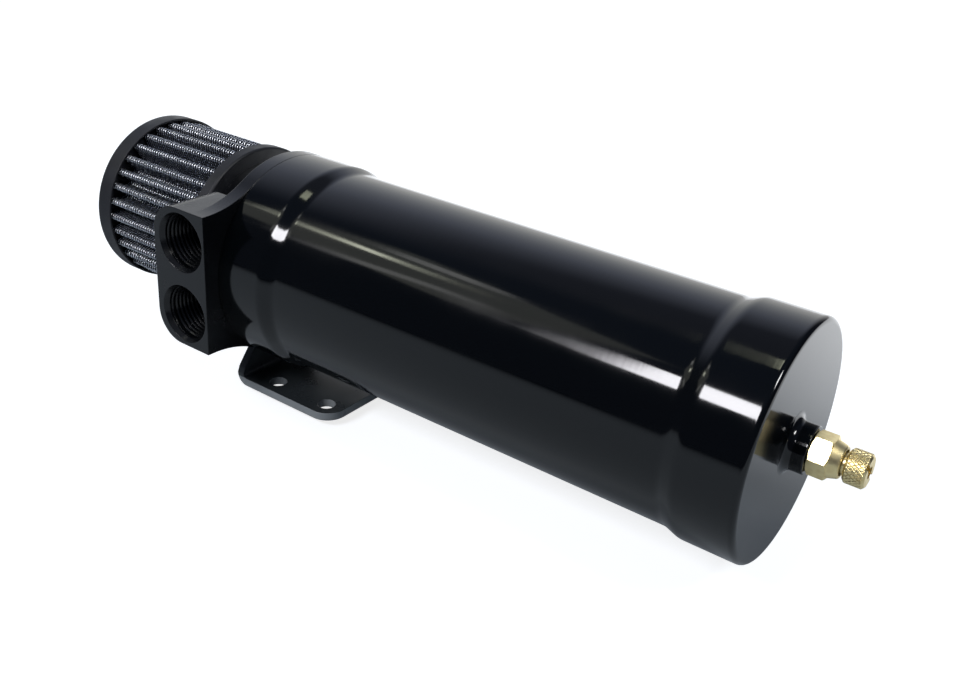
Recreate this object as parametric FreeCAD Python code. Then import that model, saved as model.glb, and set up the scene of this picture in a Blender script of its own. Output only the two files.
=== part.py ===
import FreeCAD, Part
import math
import os

from FreeCAD import Vector

# Oil catch can, millimetres, +Z up.
# The origin is the middle of the bracket's four bolt holes, on the face that meets the wall.
# The wall is on the +Y side, the two hose ports face -X, the filter is on top and the drain below.

# Can body: a spun tube with a flat bottom and two swelled collars
tube_radius = 38.1
collar_swell = 1.75
can_wall = 2.0
can_length = 205.5
collar_height = 20.1
swage_length = 6.8
swage_bend_radius = 3.0
bottom_thickness = 2.5
bottom_edge_radius = 1.9
rim_chamfer = 0.3

# Where the can hangs: its gap to the bracket's plate, and its seam above the bolt holes
bracket_gap = 8.45
seam_above_bolts = 19.2

# Head: one billet with the lid disc, the port block and the spigot inside the can
lid_thickness = 6.2
port_block_height = 26.6
port_face_reach = 46.0
port_block_half_width = 27.3
port_block_corner_radius = 11.6
port_cheek_length = 2.16
port_block_depth = 28.0
block_back_chamfer = 5.9
spigot_depth = 9.0
spigot_clearance = 0.1
seal_groove_below_seam = 4.5
seal_groove_width = 2.4
seal_section_radius = 0.9
seal_clearance = 0.02
head_roof_thickness = 3.2
head_pocket_wall = 2.5
head_web_thickness = 3.5
head_screw_stock = 7.0
neck_shank_clearance = 0.05

# Ports: two straight-thread hose ports with a sealing chamfer at the mouth
port_spacing = 28.6
port_height = 12.4
port_bore_radius = 10.3
port_mouth_radius = 11.45
port_mouth_depth = 1.9
port_bore_depth = 18.0
port_gallery_overlap = 2.0
port_gallery_wall = 2.5
port_gallery_half_width = 19.0
port_gallery_top = 20.0
port_gallery_corner = 4.0

# Separator stack: two pierced discs with a wire pad between them, on the upper swage
screen_thickness = 1.2
screen_edge_clearance = 0.45
screen_hole_radius = 2.2
screen_hole_pitch = 7.6
screen_rim = 5.5
seat_gap = 0.1
pad_edge_clearance = 0.6

# Filter: pleated wire element between a moulded rubber base and cap, on a turned neck
filter_offset = 8.8
neck_radius = 15.9
neck_wall = 2.5
neck_shank_radius = 14.95
neck_height = 30.0
neck_chamfer = 0.8
filter_base_height = 27.9
filter_base_thickness = 5.3
filter_base_radius = 34.6
filter_base_chamfer = 0.8
filter_base_recess_radius = 28.5
filter_base_recess_depth = 1.3
filter_collar_wall = 3.5
filter_collar_height = 9.5
filter_fit_clearance = 0.05
element_length = 47.0
element_radius = 33.9
element_inner_radius = 26.5
element_sheet = 0.8
pleat_count = 32
pleat_crest_radius = 1.55
pleat_valley_radius = 0.7
element_socket_depth = 2.5
element_socket_clearance = 0.15
filter_cap_thickness = 8.2
filter_cap_radius = 34.9
filter_cap_edge_radius = 1.6
filter_cap_dish_radius = 24.0
filter_cap_dish_depth = 0.8

# Hose clamp on the filter's collar
band_thickness = 0.8
band_width = 9.0
band_height = 13.5
band_clearance = 0.05
clamp_box_length = 13.0
clamp_box_width = 10.4
clamp_box_depth = 8.4
clamp_box_edge_radius = 2.9
clamp_screw_radius = 3.0
clamp_screw_clearance = 0.08
clamp_screw_overhang = 2.0
clamp_head_flats = 7.0
clamp_head_length = 4.5
clamp_head_gap = 0.3
clamp_slot_width = 1.0
clamp_slot_depth = 1.2

# Bracket: bent sheet, a wall plate with four holes and a tongue on the lid
sheet_thickness = 3.2
bend_inner_radius = 1.6
bolt_spacing_across = 33.0
bolt_spacing_along = 26.0
bolt_hole_radius = 3.5
plate_half_width = 23.5
plate_below_bolts = 7.8
plate_corner_radius = 8.0
tongue_shoulder_half_width = 22.5
tongue_shoulder_reach = 44.0
tongue_tip_half_width = 13.5
tongue_taper_reach = 32.0
tongue_tip_reach = 23.0
tongue_corner_radius = 5.0

# Bracket screws with washers
screw_spacing = 15.0
screw_from_axis = 29.5
screw_radius = 2.5
screw_chamfer = 0.4
screw_hole_radius = 2.75
screw_thread_clearance = 0.05
screw_length = 14.0
screw_hole_spare = 1.0
screw_head_radius = 4.6
screw_head_height = 2.8
screw_head_rim = 0.8
screw_head_shoulder_radius = 4.0
screw_head_shoulder_height = 2.0
screw_head_top_radius = 2.8
screw_socket_flats = 3.0
screw_socket_depth = 1.7
washer_radius = 5.2
washer_thickness = 1.0

# Drain bung, turned and welded into the bottom
bung_radius = 7.8
bung_length = 6.4
bung_spigot_radius = 7.2
bung_spigot_clearance = 0.05
bung_bore_radius = 4.75
bung_chamfer = 0.3
weld_radius = 10.4
weld_height = 2.6
weld_hollow = 0.35

# Petcock: hexagon body, screwed knob with a hollow stem, and a needle on the stem's tip
petcock_gap = 0.2
hexagon_flats = 12.5
hexagon_turn = 6.5
hexagon_length = 6.0
hexagon_chamfer_margin = 0.05
hexagon_chamfer_slope = 0.58
petcock_shank_clearance = 0.05
petcock_shank_length = 8.0
petcock_shank_chamfer = 0.5
nose_radius = 5.2
nose_base_radius = 6.1
nose_length = 3.3
nose_chamfer = 0.3
inlet_radius = 1.8
seat_below_bottom = 5.0
chamber_radius = 3.3
gland_radius = 4.25
gland_depth = 1.7
stem_clearance = 0.08
stem_tip_radius = 2.4
stem_tip_length = 5.2
stem_bore_radius = 1.3
stem_bore_blind_below_seat = 4.6
stem_cross_hole_radius = 0.8
stem_cross_hole_below_seat = 5.8
knob_gap = 1.1
knob_radius = 5.3
knob_length = 6.6
knob_chamfer = 0.6
knob_mouth_radius = 2.0
knob_mouth_depth = 2.4
knob_slot_turn = 43.5
knob_slot_width = 1.6
knob_slot_depth = 1.2
stem_ring_section_radius = 0.42
stem_ring_end_clearance = 0.05
needle_radius = 2.8
needle_thickness = 1.9
needle_tip_radius = 1.5
needle_tip_length = 1.2
needle_point_radius = 0.9
needle_tail_radius = 0.9
needle_tail_length = 1.8
needle_gap = 0.05
needle_tail_clearance = 0.1

# How far a cutting shape reaches past the face it cuts, and the shortest length that counts
cut_margin = 1.0
tiny = 1e-6

# Places worked out from the sizes
collar_radius = tube_radius + collar_swell
can_y = -(collar_radius + bracket_gap + sheet_thickness)
seam_z = seam_above_bolts
bottom_z = seam_z - can_length
lid_top_z = seam_z + lid_thickness
spigot_end_z = seam_z - spigot_depth
collar_inner_radius = collar_radius - can_wall
tube_inner_radius = tube_radius - can_wall
spigot_radius = collar_inner_radius - spigot_clearance
seal_groove_radius = collar_inner_radius - 2 * (seal_section_radius + seal_clearance)
head_pocket_radius = seal_groove_radius - head_pocket_wall
head_pocket_rear = screw_from_axis - screw_radius - head_screw_stock
port_gallery_front = port_face_reach - port_bore_depth + port_gallery_overlap
block_back_reach = port_face_reach - port_block_depth
port_gallery_back = block_back_reach + port_gallery_wall
screw_hole_depth = screw_length - sheet_thickness - washer_thickness + screw_hole_spare
port_z = seam_z + port_height
upper_swage_z = seam_z - collar_height - swage_length
seat_z = upper_swage_z + swage_length / 2 + seat_gap
seat_radius = (collar_inner_radius + tube_inner_radius) / 2
screen_hole_field_radius = seat_radius - screen_rim
filter_base_z = seam_z + filter_base_height
element_z = filter_base_z + filter_base_thickness
cap_z = element_z + element_length
collar_outer_radius = neck_radius + filter_fit_clearance + filter_collar_wall
band_z = seam_z + band_height
hexagon_z = bottom_z - bung_length - petcock_gap
hexagon_end_z = hexagon_z - hexagon_length
nose_end_z = hexagon_end_z - nose_length
valve_seat_z = bottom_z - seat_below_bottom
knob_z = nose_end_z - knob_gap
stem_radius = chamber_radius - stem_clearance
petcock_shank_radius = bung_bore_radius - petcock_shank_clearance
plate_face_y = -sheet_thickness
screw_y = can_y + screw_from_axis
tongue_top_z = lid_top_z + sheet_thickness

can_axis = Vector(0, can_y, 0)
filter_axis = Vector(filter_offset, can_y, 0)
up = Vector(0, 0, 1)


def flat(x, y, z=0.0):
    return Vector(x, y, z)


def line(start, end):
    return Part.makeLine(start, end)


def arc(start, middle, end):
    return Part.Arc(start, middle, end).toShape()


def polygon(points):
    """Closed straight-sided wire through the points."""
    return Part.makePolygon(points + [points[0]])


def rounded(points, radii):
    """Closed wire through the points in order, each corner rounded by its own radius.

    Where two roundings meet, no straight edge is left between them.
    """
    count = len(points)
    ends = []
    for index, corner in enumerate(points):
        back = (points[index - 1] - corner).normalize()
        ahead = (points[(index + 1) % count] - corner).normalize()
        half = back.getAngle(ahead) / 2
        reach = radii[index] / math.tan(half)
        inward = (back + ahead).normalize()
        nearest = corner + inward * (radii[index] / math.sin(half) - radii[index])
        ends.append((corner + back * reach, nearest, corner + ahead * reach))
    edges = []
    for index in range(count):
        start, middle, end = ends[index]
        if radii[index] > 0:
            edges.append(arc(start, middle, end))
        following = ends[(index + 1) % count][0]
        if end.distanceToPoint(following) > tiny:
            edges.append(line(end, following))
    return Part.Wire(edges)


def turned(points, axis=can_axis):
    """Solid turned about an upright axis from (radius, height) points."""
    wire = polygon([axis + Vector(radius, 0, height) for radius, height in points])
    return Part.Face(wire).revolve(axis, up, 360)


def cylinder(radius, height, base, direction=up):
    return Part.makeCylinder(radius, height, base, direction)


def ring(outer, inner, z, height, axis=can_axis):
    base = Vector(axis.x, axis.y, z)
    return cylinder(outer, height, base).cut(cylinder(inner, height, base))


def hexagon(flats, z, height, centre, direction=up, turn=0.0):
    """Hexagonal bar across the given flats, standing at a point along a direction, turned by degrees."""
    points = []
    for index in range(6):
        angle = math.radians(60 * index + turn)
        reach = flats / (2 * math.cos(math.pi / 6))
        points.append(Vector(reach * math.cos(angle), reach * math.sin(angle), z))
    bar = Part.Face(polygon(points)).extrude(Vector(0, 0, height))
    bar.Placement = FreeCAD.Placement(centre, FreeCAD.Rotation(up, direction))
    return bar


def can_body():
    """Spun can: flat bottom, two collars and the coned swages down to the tube."""
    low_collar = bottom_z + collar_height
    low_tube = low_collar + swage_length
    high_tube = upper_swage_z
    high_collar = high_tube + swage_length
    floor_z = bottom_z + bottom_thickness
    hole = bung_spigot_radius + bung_spigot_clearance
    bend = swage_bend_radius
    outline = [(hole, bottom_z, 0), (collar_radius, bottom_z, bottom_edge_radius),
               (collar_radius, low_collar, bend), (tube_radius, low_tube, bend),
               (tube_radius, high_tube, bend), (collar_radius, high_collar, bend),
               (collar_radius, seam_z - rim_chamfer, 0), (collar_radius - rim_chamfer, seam_z, 0),
               (collar_inner_radius, seam_z, 0), (collar_inner_radius, high_collar, bend),
               (tube_inner_radius, high_tube, bend), (tube_inner_radius, low_tube, bend),
               (collar_inner_radius, low_collar, bend), (collar_inner_radius, floor_z, 0), (hole, floor_z, 0)]
    points = [can_axis + Vector(radius, 0, height) for radius, height, corner in outline]
    wire = rounded(points, [corner for radius, height, corner in outline])
    return Part.Face(wire).revolve(can_axis, up, 360)


def head_outline():
    """Plan of the head: the lid disc, blended into the port block by one hollow arc on each side."""
    half = port_block_half_width
    centre_x = port_cheek_length - port_face_reach
    spare = centre_x ** 2 + half ** 2 - collar_radius ** 2
    blend = spare / (2 * (collar_radius - half))
    gather = half + blend
    scale = collar_radius / (collar_radius + blend)
    touch_x = centre_x * scale
    touch_y = gather * scale
    turn = math.atan2(touch_y - gather, touch_x - centre_x)
    middle = (turn - math.pi / 2) / 2
    middle_x = centre_x + blend * math.cos(middle)
    middle_y = gather + blend * math.sin(middle)

    def at(x, y):
        return flat(x, can_y + y)

    face_x = -port_face_reach
    edges = [arc(at(touch_x, touch_y), at(collar_radius, 0), at(touch_x, -touch_y))]
    edges.append(arc(at(touch_x, -touch_y), at(middle_x, -middle_y), at(centre_x, -half)))
    edges.append(line(at(centre_x, -half), at(face_x, -half)))
    edges.append(line(at(face_x, -half), at(face_x, half)))
    edges.append(line(at(face_x, half), at(centre_x, half)))
    edges.append(arc(at(centre_x, half), at(middle_x, middle_y), at(touch_x, touch_y)))
    return Part.Face(Part.Wire(edges))


def port_block():
    """Upper part of the head: a flat-sided block over the ports, top edges rounded, back corners cut off."""
    rise = port_block_height
    half = port_block_half_width
    corner = port_block_corner_radius
    cut = block_back_chamfer
    face = -port_face_reach
    back = -block_back_reach
    plan = [flat(face, can_y - half), flat(back - cut, can_y - half), flat(back, can_y - half + cut),
            flat(back, can_y + half - cut), flat(back - cut, can_y + half), flat(face, can_y + half)]
    block = Part.Face(polygon(plan)).extrude(Vector(0, 0, rise))
    gate = [Vector(face, can_y - half, 0), Vector(face, can_y + half, 0),
            Vector(face, can_y + half, rise), Vector(face, can_y - half, rise)]
    profile = Part.Face(rounded(gate, [0, 0, corner, corner])).extrude(Vector(port_block_depth, 0, 0))
    return block.common(profile)


def head():
    """Billet head with its ports, galleries, seal groove, neck hole and screw holes."""
    lid = head_outline().extrude(Vector(0, 0, lid_thickness))
    body = lid.fuse(port_block())
    body.translate(Vector(0, 0, seam_z))
    spigot = cylinder(spigot_radius, spigot_depth, Vector(0, can_y, spigot_end_z))
    body = body.fuse(spigot).removeSplitter()

    groove_z = seam_z - seal_groove_below_seam - seal_groove_width / 2
    body = body.cut(ring(spigot_radius + cut_margin, seal_groove_radius, groove_z, seal_groove_width))

    roof_z = lid_top_z - head_roof_thickness
    pocket_depth = roof_z - spigot_end_z
    pocket = cylinder(head_pocket_radius, pocket_depth, Vector(0, can_y, spigot_end_z))
    web_x = -port_gallery_back + head_web_thickness
    room = Part.makeBox(head_pocket_radius - web_x, head_pocket_radius + head_pocket_rear, pocket_depth,
                        Vector(web_x, can_y - head_pocket_radius, spigot_end_z))
    body = body.cut(pocket.common(room))

    half = port_gallery_half_width
    gallery = [flat(-port_gallery_front, can_y - half), flat(-port_gallery_back, can_y - half),
               flat(-port_gallery_back, can_y + half), flat(-port_gallery_front, can_y + half)]
    shape = Part.Face(rounded(gallery, [port_gallery_corner] * 4))
    shape = shape.extrude(Vector(0, 0, seam_z + port_gallery_top - spigot_end_z))
    shape.translate(Vector(0, 0, spigot_end_z))
    body = body.cut(shape)

    for side in (-1, 1):
        mouth = Vector(-port_face_reach, can_y + side * port_spacing / 2, port_z)
        inward = Vector(1, 0, 0)
        body = body.cut(cylinder(port_bore_radius, port_bore_depth, mouth, inward))
        chamfer = Part.makeCone(port_mouth_radius, port_bore_radius, port_mouth_depth, mouth, inward)
        body = body.cut(chamfer)
        hole = Vector(side * screw_spacing / 2, screw_y, lid_top_z - screw_hole_depth)
        body = body.cut(cylinder(screw_radius + screw_thread_clearance, screw_hole_depth, hole))

    neck_hole = neck_shank_radius + neck_shank_clearance
    body = body.cut(cylinder(neck_hole, lid_thickness, Vector(filter_offset, can_y, seam_z)))
    return body


def head_seal():
    """O-ring between the head's spigot and the can's collar."""
    middle = seal_groove_radius + seal_clearance + seal_section_radius
    centre = Vector(0, can_y, seam_z - seal_groove_below_seam)
    return Part.makeTorus(middle, seal_section_radius, centre, up)


def screen(z, radius):
    """Pierced disc, its holes on a triangular grid."""
    disc = Part.Wire(Part.makeCircle(radius, Vector(0, can_y, z)))
    wires = [disc]
    row_height = screen_hole_pitch * math.sin(math.pi / 3)
    rows = int(screen_hole_field_radius / row_height) + 1
    for row in range(-rows, rows + 1):
        shift = screen_hole_pitch / 2 if row % 2 else 0.0
        for column in range(-rows - 1, rows + 2):
            x = column * screen_hole_pitch + shift
            y = row * row_height
            if math.hypot(x, y) < screen_hole_field_radius:
                wires.append(Part.Wire(Part.makeCircle(screen_hole_radius, Vector(x, can_y + y, z))))
    return Part.makeFace(wires, "Part::FaceMakerBullseye").extrude(Vector(0, 0, screen_thickness))


def lower_screen():
    """Pierced disc that rests on the can's upper swage."""
    return screen(seat_z, seat_radius)


def upper_screen():
    """Pierced disc held down by the head's spigot."""
    return screen(spigot_end_z - screen_thickness, collar_inner_radius - screen_edge_clearance)


def wire_pad():
    """Knitted wire pad between the two discs, as a plain disc."""
    low = seat_z + screen_thickness
    high = spigot_end_z - screen_thickness
    return cylinder(seat_radius - pad_edge_clearance, high - low, Vector(0, can_y, low))


def filter_neck():
    """Turned tube set in the lid, off the can's axis."""
    inner = neck_radius - neck_wall
    low = lid_top_z - head_roof_thickness
    high = seam_z + neck_height
    points = [(inner, low), (neck_shank_radius, low), (neck_shank_radius, lid_top_z),
              (neck_radius, lid_top_z), (neck_radius, high - neck_chamfer),
              (neck_radius - neck_chamfer, high), (inner, high)]
    return turned(points, filter_axis)


def filter_base():
    """Moulded rubber base: a socket for the pleats above and a collar for the neck below."""
    inner = neck_radius + filter_fit_clearance
    low = seam_z + filter_collar_height
    socket = element_radius + element_socket_clearance
    floor = element_z - element_socket_depth
    bed = element_inner_radius - pleat_crest_radius
    recess_z = filter_base_z + filter_base_recess_depth
    lip = filter_base_chamfer
    points = [(inner, low), (collar_outer_radius, low), (collar_outer_radius, recess_z),
              (filter_base_recess_radius, recess_z), (filter_base_recess_radius, filter_base_z),
              (filter_base_radius - lip, filter_base_z), (filter_base_radius, filter_base_z + lip),
              (filter_base_radius, element_z), (socket, element_z), (socket, floor), (bed, floor),
              (bed, element_z), (inner, element_z)]
    return turned(points, filter_axis)


def filter_cap():
    """Moulded rubber cap with a socket for the pleats and a rounded top edge."""
    socket = element_radius + element_socket_clearance
    bed = element_inner_radius - pleat_crest_radius
    top = cap_z + filter_cap_thickness
    roof = cap_z + element_socket_depth
    points = [(0, cap_z), (bed, cap_z), (bed, roof), (socket, roof), (socket, cap_z),
              (filter_cap_radius, cap_z), (filter_cap_radius, top), (filter_cap_dish_radius, top),
              (filter_cap_dish_radius - filter_cap_dish_depth, top - filter_cap_dish_depth),
              (0, top - filter_cap_dish_depth)]
    cap = turned(points, filter_axis)
    edge = [item for item in cap.Edges if abs(item.BoundBox.ZMin - top) < tiny
            and item.BoundBox.XLength > 2 * filter_cap_dish_radius + tiny]
    return cap.makeFillet(filter_cap_edge_radius, edge)


def pleat_wire(grow, z):
    """Closed pleated outline, with round crests and valleys joined by straight flanks.

    The named radii are those of the sheet's outer face, which a grow of one sheet gives.
    A grow of nothing gives the inner face.
    """
    crest = pleat_crest_radius - element_sheet + grow
    valley = pleat_valley_radius + element_sheet - grow
    crest_middle = element_radius - pleat_crest_radius
    valley_middle = element_inner_radius + pleat_valley_radius
    half_step = math.pi / pleat_count
    edges = []

    def at(radius, angle):
        return Vector(filter_axis.x + radius * math.cos(angle), filter_axis.y + radius * math.sin(angle), z)

    def spun(point, angle):
        turn = FreeCAD.Rotation(up, math.degrees(angle))
        centre = Vector(filter_axis.x, filter_axis.y, z)
        return centre + turn.multVec(point - centre)

    crest_centre = at(crest_middle, 0)
    valley_centre = at(valley_middle, half_step)
    run = valley_centre - crest_centre
    lean = math.acos((crest + valley) / run.Length)
    heading = math.atan2(run.y, run.x) - lean
    across = Vector(math.cos(heading), math.sin(heading), 0)
    flank_top = crest_centre + across * crest
    flank_foot = valley_centre - across * valley
    mirror_top = Vector(flank_top.x, 2 * filter_axis.y - flank_top.y, z)
    mirror_foot = Vector(flank_foot.x, 2 * filter_axis.y - flank_foot.y, z)
    for index in range(pleat_count):
        angle = 2 * half_step * index
        edges.append(arc(spun(mirror_top, angle), at(crest_middle + crest, angle), spun(flank_top, angle)))
        edges.append(line(spun(flank_top, angle), spun(flank_foot, angle)))
        following = angle + 2 * half_step
        bottom = at(valley_middle - valley, angle + half_step)
        edges.append(arc(spun(flank_foot, angle), bottom, spun(mirror_foot, following)))
        edges.append(line(spun(mirror_foot, following), spun(mirror_top, following)))
    return Part.Wire(edges)


def filter_element():
    """Pleated wire-mesh sleeve, its ends set in the sockets of the base and the cap."""
    low = element_z - element_socket_depth
    length = element_length + 2 * element_socket_depth
    outer = Part.Face(pleat_wire(element_sheet, low)).extrude(Vector(0, 0, length))
    inner = Part.Face(pleat_wire(0.0, low)).extrude(Vector(0, 0, length))
    return outer.cut(inner)


def clamp_band():
    """Steel strap round the filter's collar."""
    inner = collar_outer_radius + band_clearance
    return ring(inner + band_thickness, inner, band_z, band_width, filter_axis)


def clamp_screw_place():
    """Centre of the clamp screw, outside the strap on the +X side."""
    reach = collar_outer_radius + band_clearance + band_thickness + clamp_box_depth / 2
    return Vector(filter_offset + reach, can_y, band_z + band_width / 2)


def clamp_housing():
    """Pressed housing that sits on the strap and holds the screw."""
    centre = clamp_screw_place()
    seat = collar_outer_radius + band_clearance + band_thickness
    low_x = filter_offset + seat * math.cos(math.asin(clamp_box_length / 2 / seat)) + band_clearance
    high_x = centre.x + clamp_box_depth / 2
    box = Part.makeBox(high_x - low_x, clamp_box_length, clamp_box_width,
                       Vector(low_x, can_y - clamp_box_length / 2, centre.z - clamp_box_width / 2))
    outside = [edge for edge in box.Edges if abs(edge.BoundBox.XMin - high_x) < tiny
               and edge.BoundBox.YLength > clamp_box_length - tiny]
    box = box.makeFillet(clamp_box_edge_radius, outside)
    box = box.cut(cylinder(seat + band_clearance, clamp_box_width,
                           Vector(filter_offset, can_y, centre.z - clamp_box_width / 2)))
    bore = cylinder(clamp_screw_radius + clamp_screw_clearance, clamp_box_length,
                    Vector(centre.x, can_y - clamp_box_length / 2, centre.z), Vector(0, 1, 0))
    return box.cut(bore)


def clamp_screw():
    """Worm screw with a slotted hexagon head on the -Y side."""
    centre = clamp_screw_place()
    head_y = can_y - clamp_box_length / 2 - clamp_head_gap
    length = clamp_head_gap + clamp_box_length + clamp_screw_overhang
    shank = cylinder(clamp_screw_radius, length, Vector(centre.x, head_y, centre.z), Vector(0, 1, 0))
    root = Vector(centre.x, head_y, centre.z)
    screw_head = hexagon(clamp_head_flats, 0, clamp_head_length, root, Vector(0, -1, 0))
    slot = Part.makeBox(2 * clamp_head_flats, clamp_slot_depth, clamp_slot_width,
                        Vector(centre.x - clamp_head_flats, head_y - clamp_head_length,
                               centre.z - clamp_slot_width / 2))
    return shank.fuse(screw_head).removeSplitter().cut(slot)


def bracket():
    """Bent sheet bracket: the wall plate and the tapered tongue that lies on the lid."""
    low_z = -bolt_spacing_along / 2 - plate_below_bolts
    inner = bend_inner_radius
    outer = inner + sheet_thickness
    tip_y = can_y + tongue_tip_reach
    root = math.sqrt(0.5)
    bend_y = plate_face_y - inner
    bend_z = lid_top_z - inner

    def at(y, z):
        return Vector(-plate_half_width, y, z)

    edges = [line(at(0, low_z), at(0, bend_z)),
             arc(at(0, bend_z), at(bend_y + outer * root, bend_z + outer * root),
                 at(bend_y, tongue_top_z)),
             line(at(bend_y, tongue_top_z), at(tip_y, tongue_top_z)),
             line(at(tip_y, tongue_top_z), at(tip_y, lid_top_z)),
             line(at(tip_y, lid_top_z), at(bend_y, lid_top_z)),
             arc(at(bend_y, lid_top_z), at(bend_y + inner * root, bend_z + inner * root),
                 at(plate_face_y, bend_z)),
             line(at(plate_face_y, bend_z), at(plate_face_y, low_z)),
             line(at(plate_face_y, low_z), at(0, low_z))]
    sheet = Part.Face(Part.Wire(edges)).extrude(Vector(2 * plate_half_width, 0, 0))

    half = plate_half_width
    shoulder = tongue_shoulder_half_width
    tip = tongue_tip_half_width
    plan = [flat(half, cut_margin), flat(half, bend_y), flat(shoulder, can_y + tongue_shoulder_reach),
            flat(tip, can_y + tongue_taper_reach), flat(tip, tip_y), flat(-tip, tip_y),
            flat(-tip, can_y + tongue_taper_reach), flat(-shoulder, can_y + tongue_shoulder_reach),
            flat(-half, bend_y), flat(-half, cut_margin)]
    plan_wire = rounded(plan, [0, 0] + [tongue_corner_radius] * 6 + [0, 0])
    cutter = Part.Face(plan_wire).extrude(Vector(0, 0, tongue_top_z - low_z + 2 * cut_margin))
    cutter.translate(Vector(0, 0, low_z - cut_margin))
    sheet = sheet.common(cutter)

    corner = plate_corner_radius
    front_y = tip_y - cut_margin
    over_z = tongue_top_z + cut_margin
    front = [Vector(-half, front_y, low_z), Vector(half, front_y, low_z),
             Vector(half, front_y, over_z), Vector(-half, front_y, over_z)]
    front_wire = rounded(front, [corner, corner, 0, 0])
    sheet = sheet.common(Part.Face(front_wire).extrude(Vector(0, cut_margin - front_y, 0)))

    for side_x in (-1, 1):
        for side_z in (-1, 1):
            hole_x = side_x * bolt_spacing_across / 2
            hole = Vector(hole_x, plate_face_y - cut_margin, side_z * bolt_spacing_along / 2)
            drill = cylinder(bolt_hole_radius, sheet_thickness + 2 * cut_margin, hole, Vector(0, 1, 0))
            sheet = sheet.cut(drill)
        hole = Vector(side_x * screw_spacing / 2, screw_y, lid_top_z - cut_margin)
        sheet = sheet.cut(cylinder(screw_hole_radius, sheet_thickness + 2 * cut_margin, hole))
    return sheet


def washers():
    """Two plain washers on the tongue."""
    solids = []
    for side in (-1, 1):
        axis = Vector(side * screw_spacing / 2, screw_y, 0)
        solids.append(ring(washer_radius, screw_hole_radius, tongue_top_z, washer_thickness, axis))
    return Part.makeCompound(solids)


def bracket_screws():
    """Two button-head socket screws through the tongue into the lid."""
    solids = []
    head_z = tongue_top_z + washer_thickness
    end_z = head_z - screw_length
    top_z = head_z + screw_head_height
    for side in (-1, 1):
        axis = Vector(side * screw_spacing / 2, screw_y, 0)
        points = [(0, end_z), (screw_radius - screw_chamfer, end_z), (screw_radius, end_z + screw_chamfer),
                  (screw_radius, head_z), (screw_head_radius, head_z),
                  (screw_head_radius, head_z + screw_head_rim),
                  (screw_head_shoulder_radius, head_z + screw_head_shoulder_height),
                  (screw_head_top_radius, top_z), (0, top_z)]
        body = turned(points, axis)
        socket_floor = Vector(axis.x, axis.y, top_z - screw_socket_depth)
        socket = hexagon(screw_socket_flats, 0, screw_socket_depth, socket_floor)
        solids.append(body.cut(socket))
    return Part.makeCompound(solids)


def drain_bung():
    """Turned bung with its hollow weld fillet, set in the hole in the can's bottom."""
    end_z = bottom_z - bung_length
    floor_z = bottom_z + bottom_thickness

    def at(radius, height):
        return can_axis + Vector(radius, 0, height)

    foot = at(bung_radius, bottom_z - weld_height)
    toe = at(weld_radius, bottom_z)
    middle = (foot + toe) * 0.5
    throat = middle + (at(bung_radius, bottom_z) - middle).normalize() * weld_hollow
    chain = [toe, at(bung_spigot_radius, bottom_z), at(bung_spigot_radius, floor_z),
             at(bung_bore_radius, floor_z), at(bung_bore_radius, end_z),
             at(bung_radius - bung_chamfer, end_z), at(bung_radius, end_z + bung_chamfer), foot]
    edges = [line(start, end) for start, end in zip(chain, chain[1:])]
    edges.append(arc(foot, throat, toe))
    return Part.Face(Part.Wire(edges)).revolve(can_axis, up, 360)


def petcock_body():
    """Brass hexagon with its threaded shank above and a coned nose below."""
    shank_top = hexagon_z + petcock_shank_length
    bar = hexagon(hexagon_flats, hexagon_end_z, hexagon_length, can_axis, up, hexagon_turn)
    edge = hexagon_flats / 2 + hexagon_chamfer_margin
    wide = hexagon_flats / math.sqrt(3) + cut_margin
    bevel = (wide - edge) * hexagon_chamfer_slope
    envelope = turned([(0, hexagon_end_z), (edge, hexagon_end_z), (wide, hexagon_end_z + bevel),
                       (wide, hexagon_z - bevel), (edge, hexagon_z), (0, hexagon_z)])
    bar = bar.common(envelope)
    shank = turned([(0, hexagon_z), (petcock_shank_radius, hexagon_z),
                    (petcock_shank_radius, shank_top - petcock_shank_chamfer),
                    (petcock_shank_radius - petcock_shank_chamfer, shank_top), (0, shank_top)])
    nose = turned([(0, nose_end_z), (nose_radius - nose_chamfer, nose_end_z),
                   (nose_radius, nose_end_z + nose_chamfer), (nose_base_radius, hexagon_end_z),
                   (0, hexagon_end_z)])
    body = bar.fuse([shank, nose]).removeSplitter()
    body = body.cut(cylinder(inlet_radius, shank_top - valve_seat_z, Vector(0, can_y, valve_seat_z)))
    body = body.cut(cylinder(chamber_radius, valve_seat_z - nose_end_z, Vector(0, can_y, nose_end_z)))
    return body.cut(cylinder(gland_radius, gland_depth, Vector(0, can_y, nose_end_z)))


def stem_top_z():
    """Height of the stem's tip, just under the needle."""
    return valve_seat_z - needle_gap - needle_thickness - needle_gap


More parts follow.
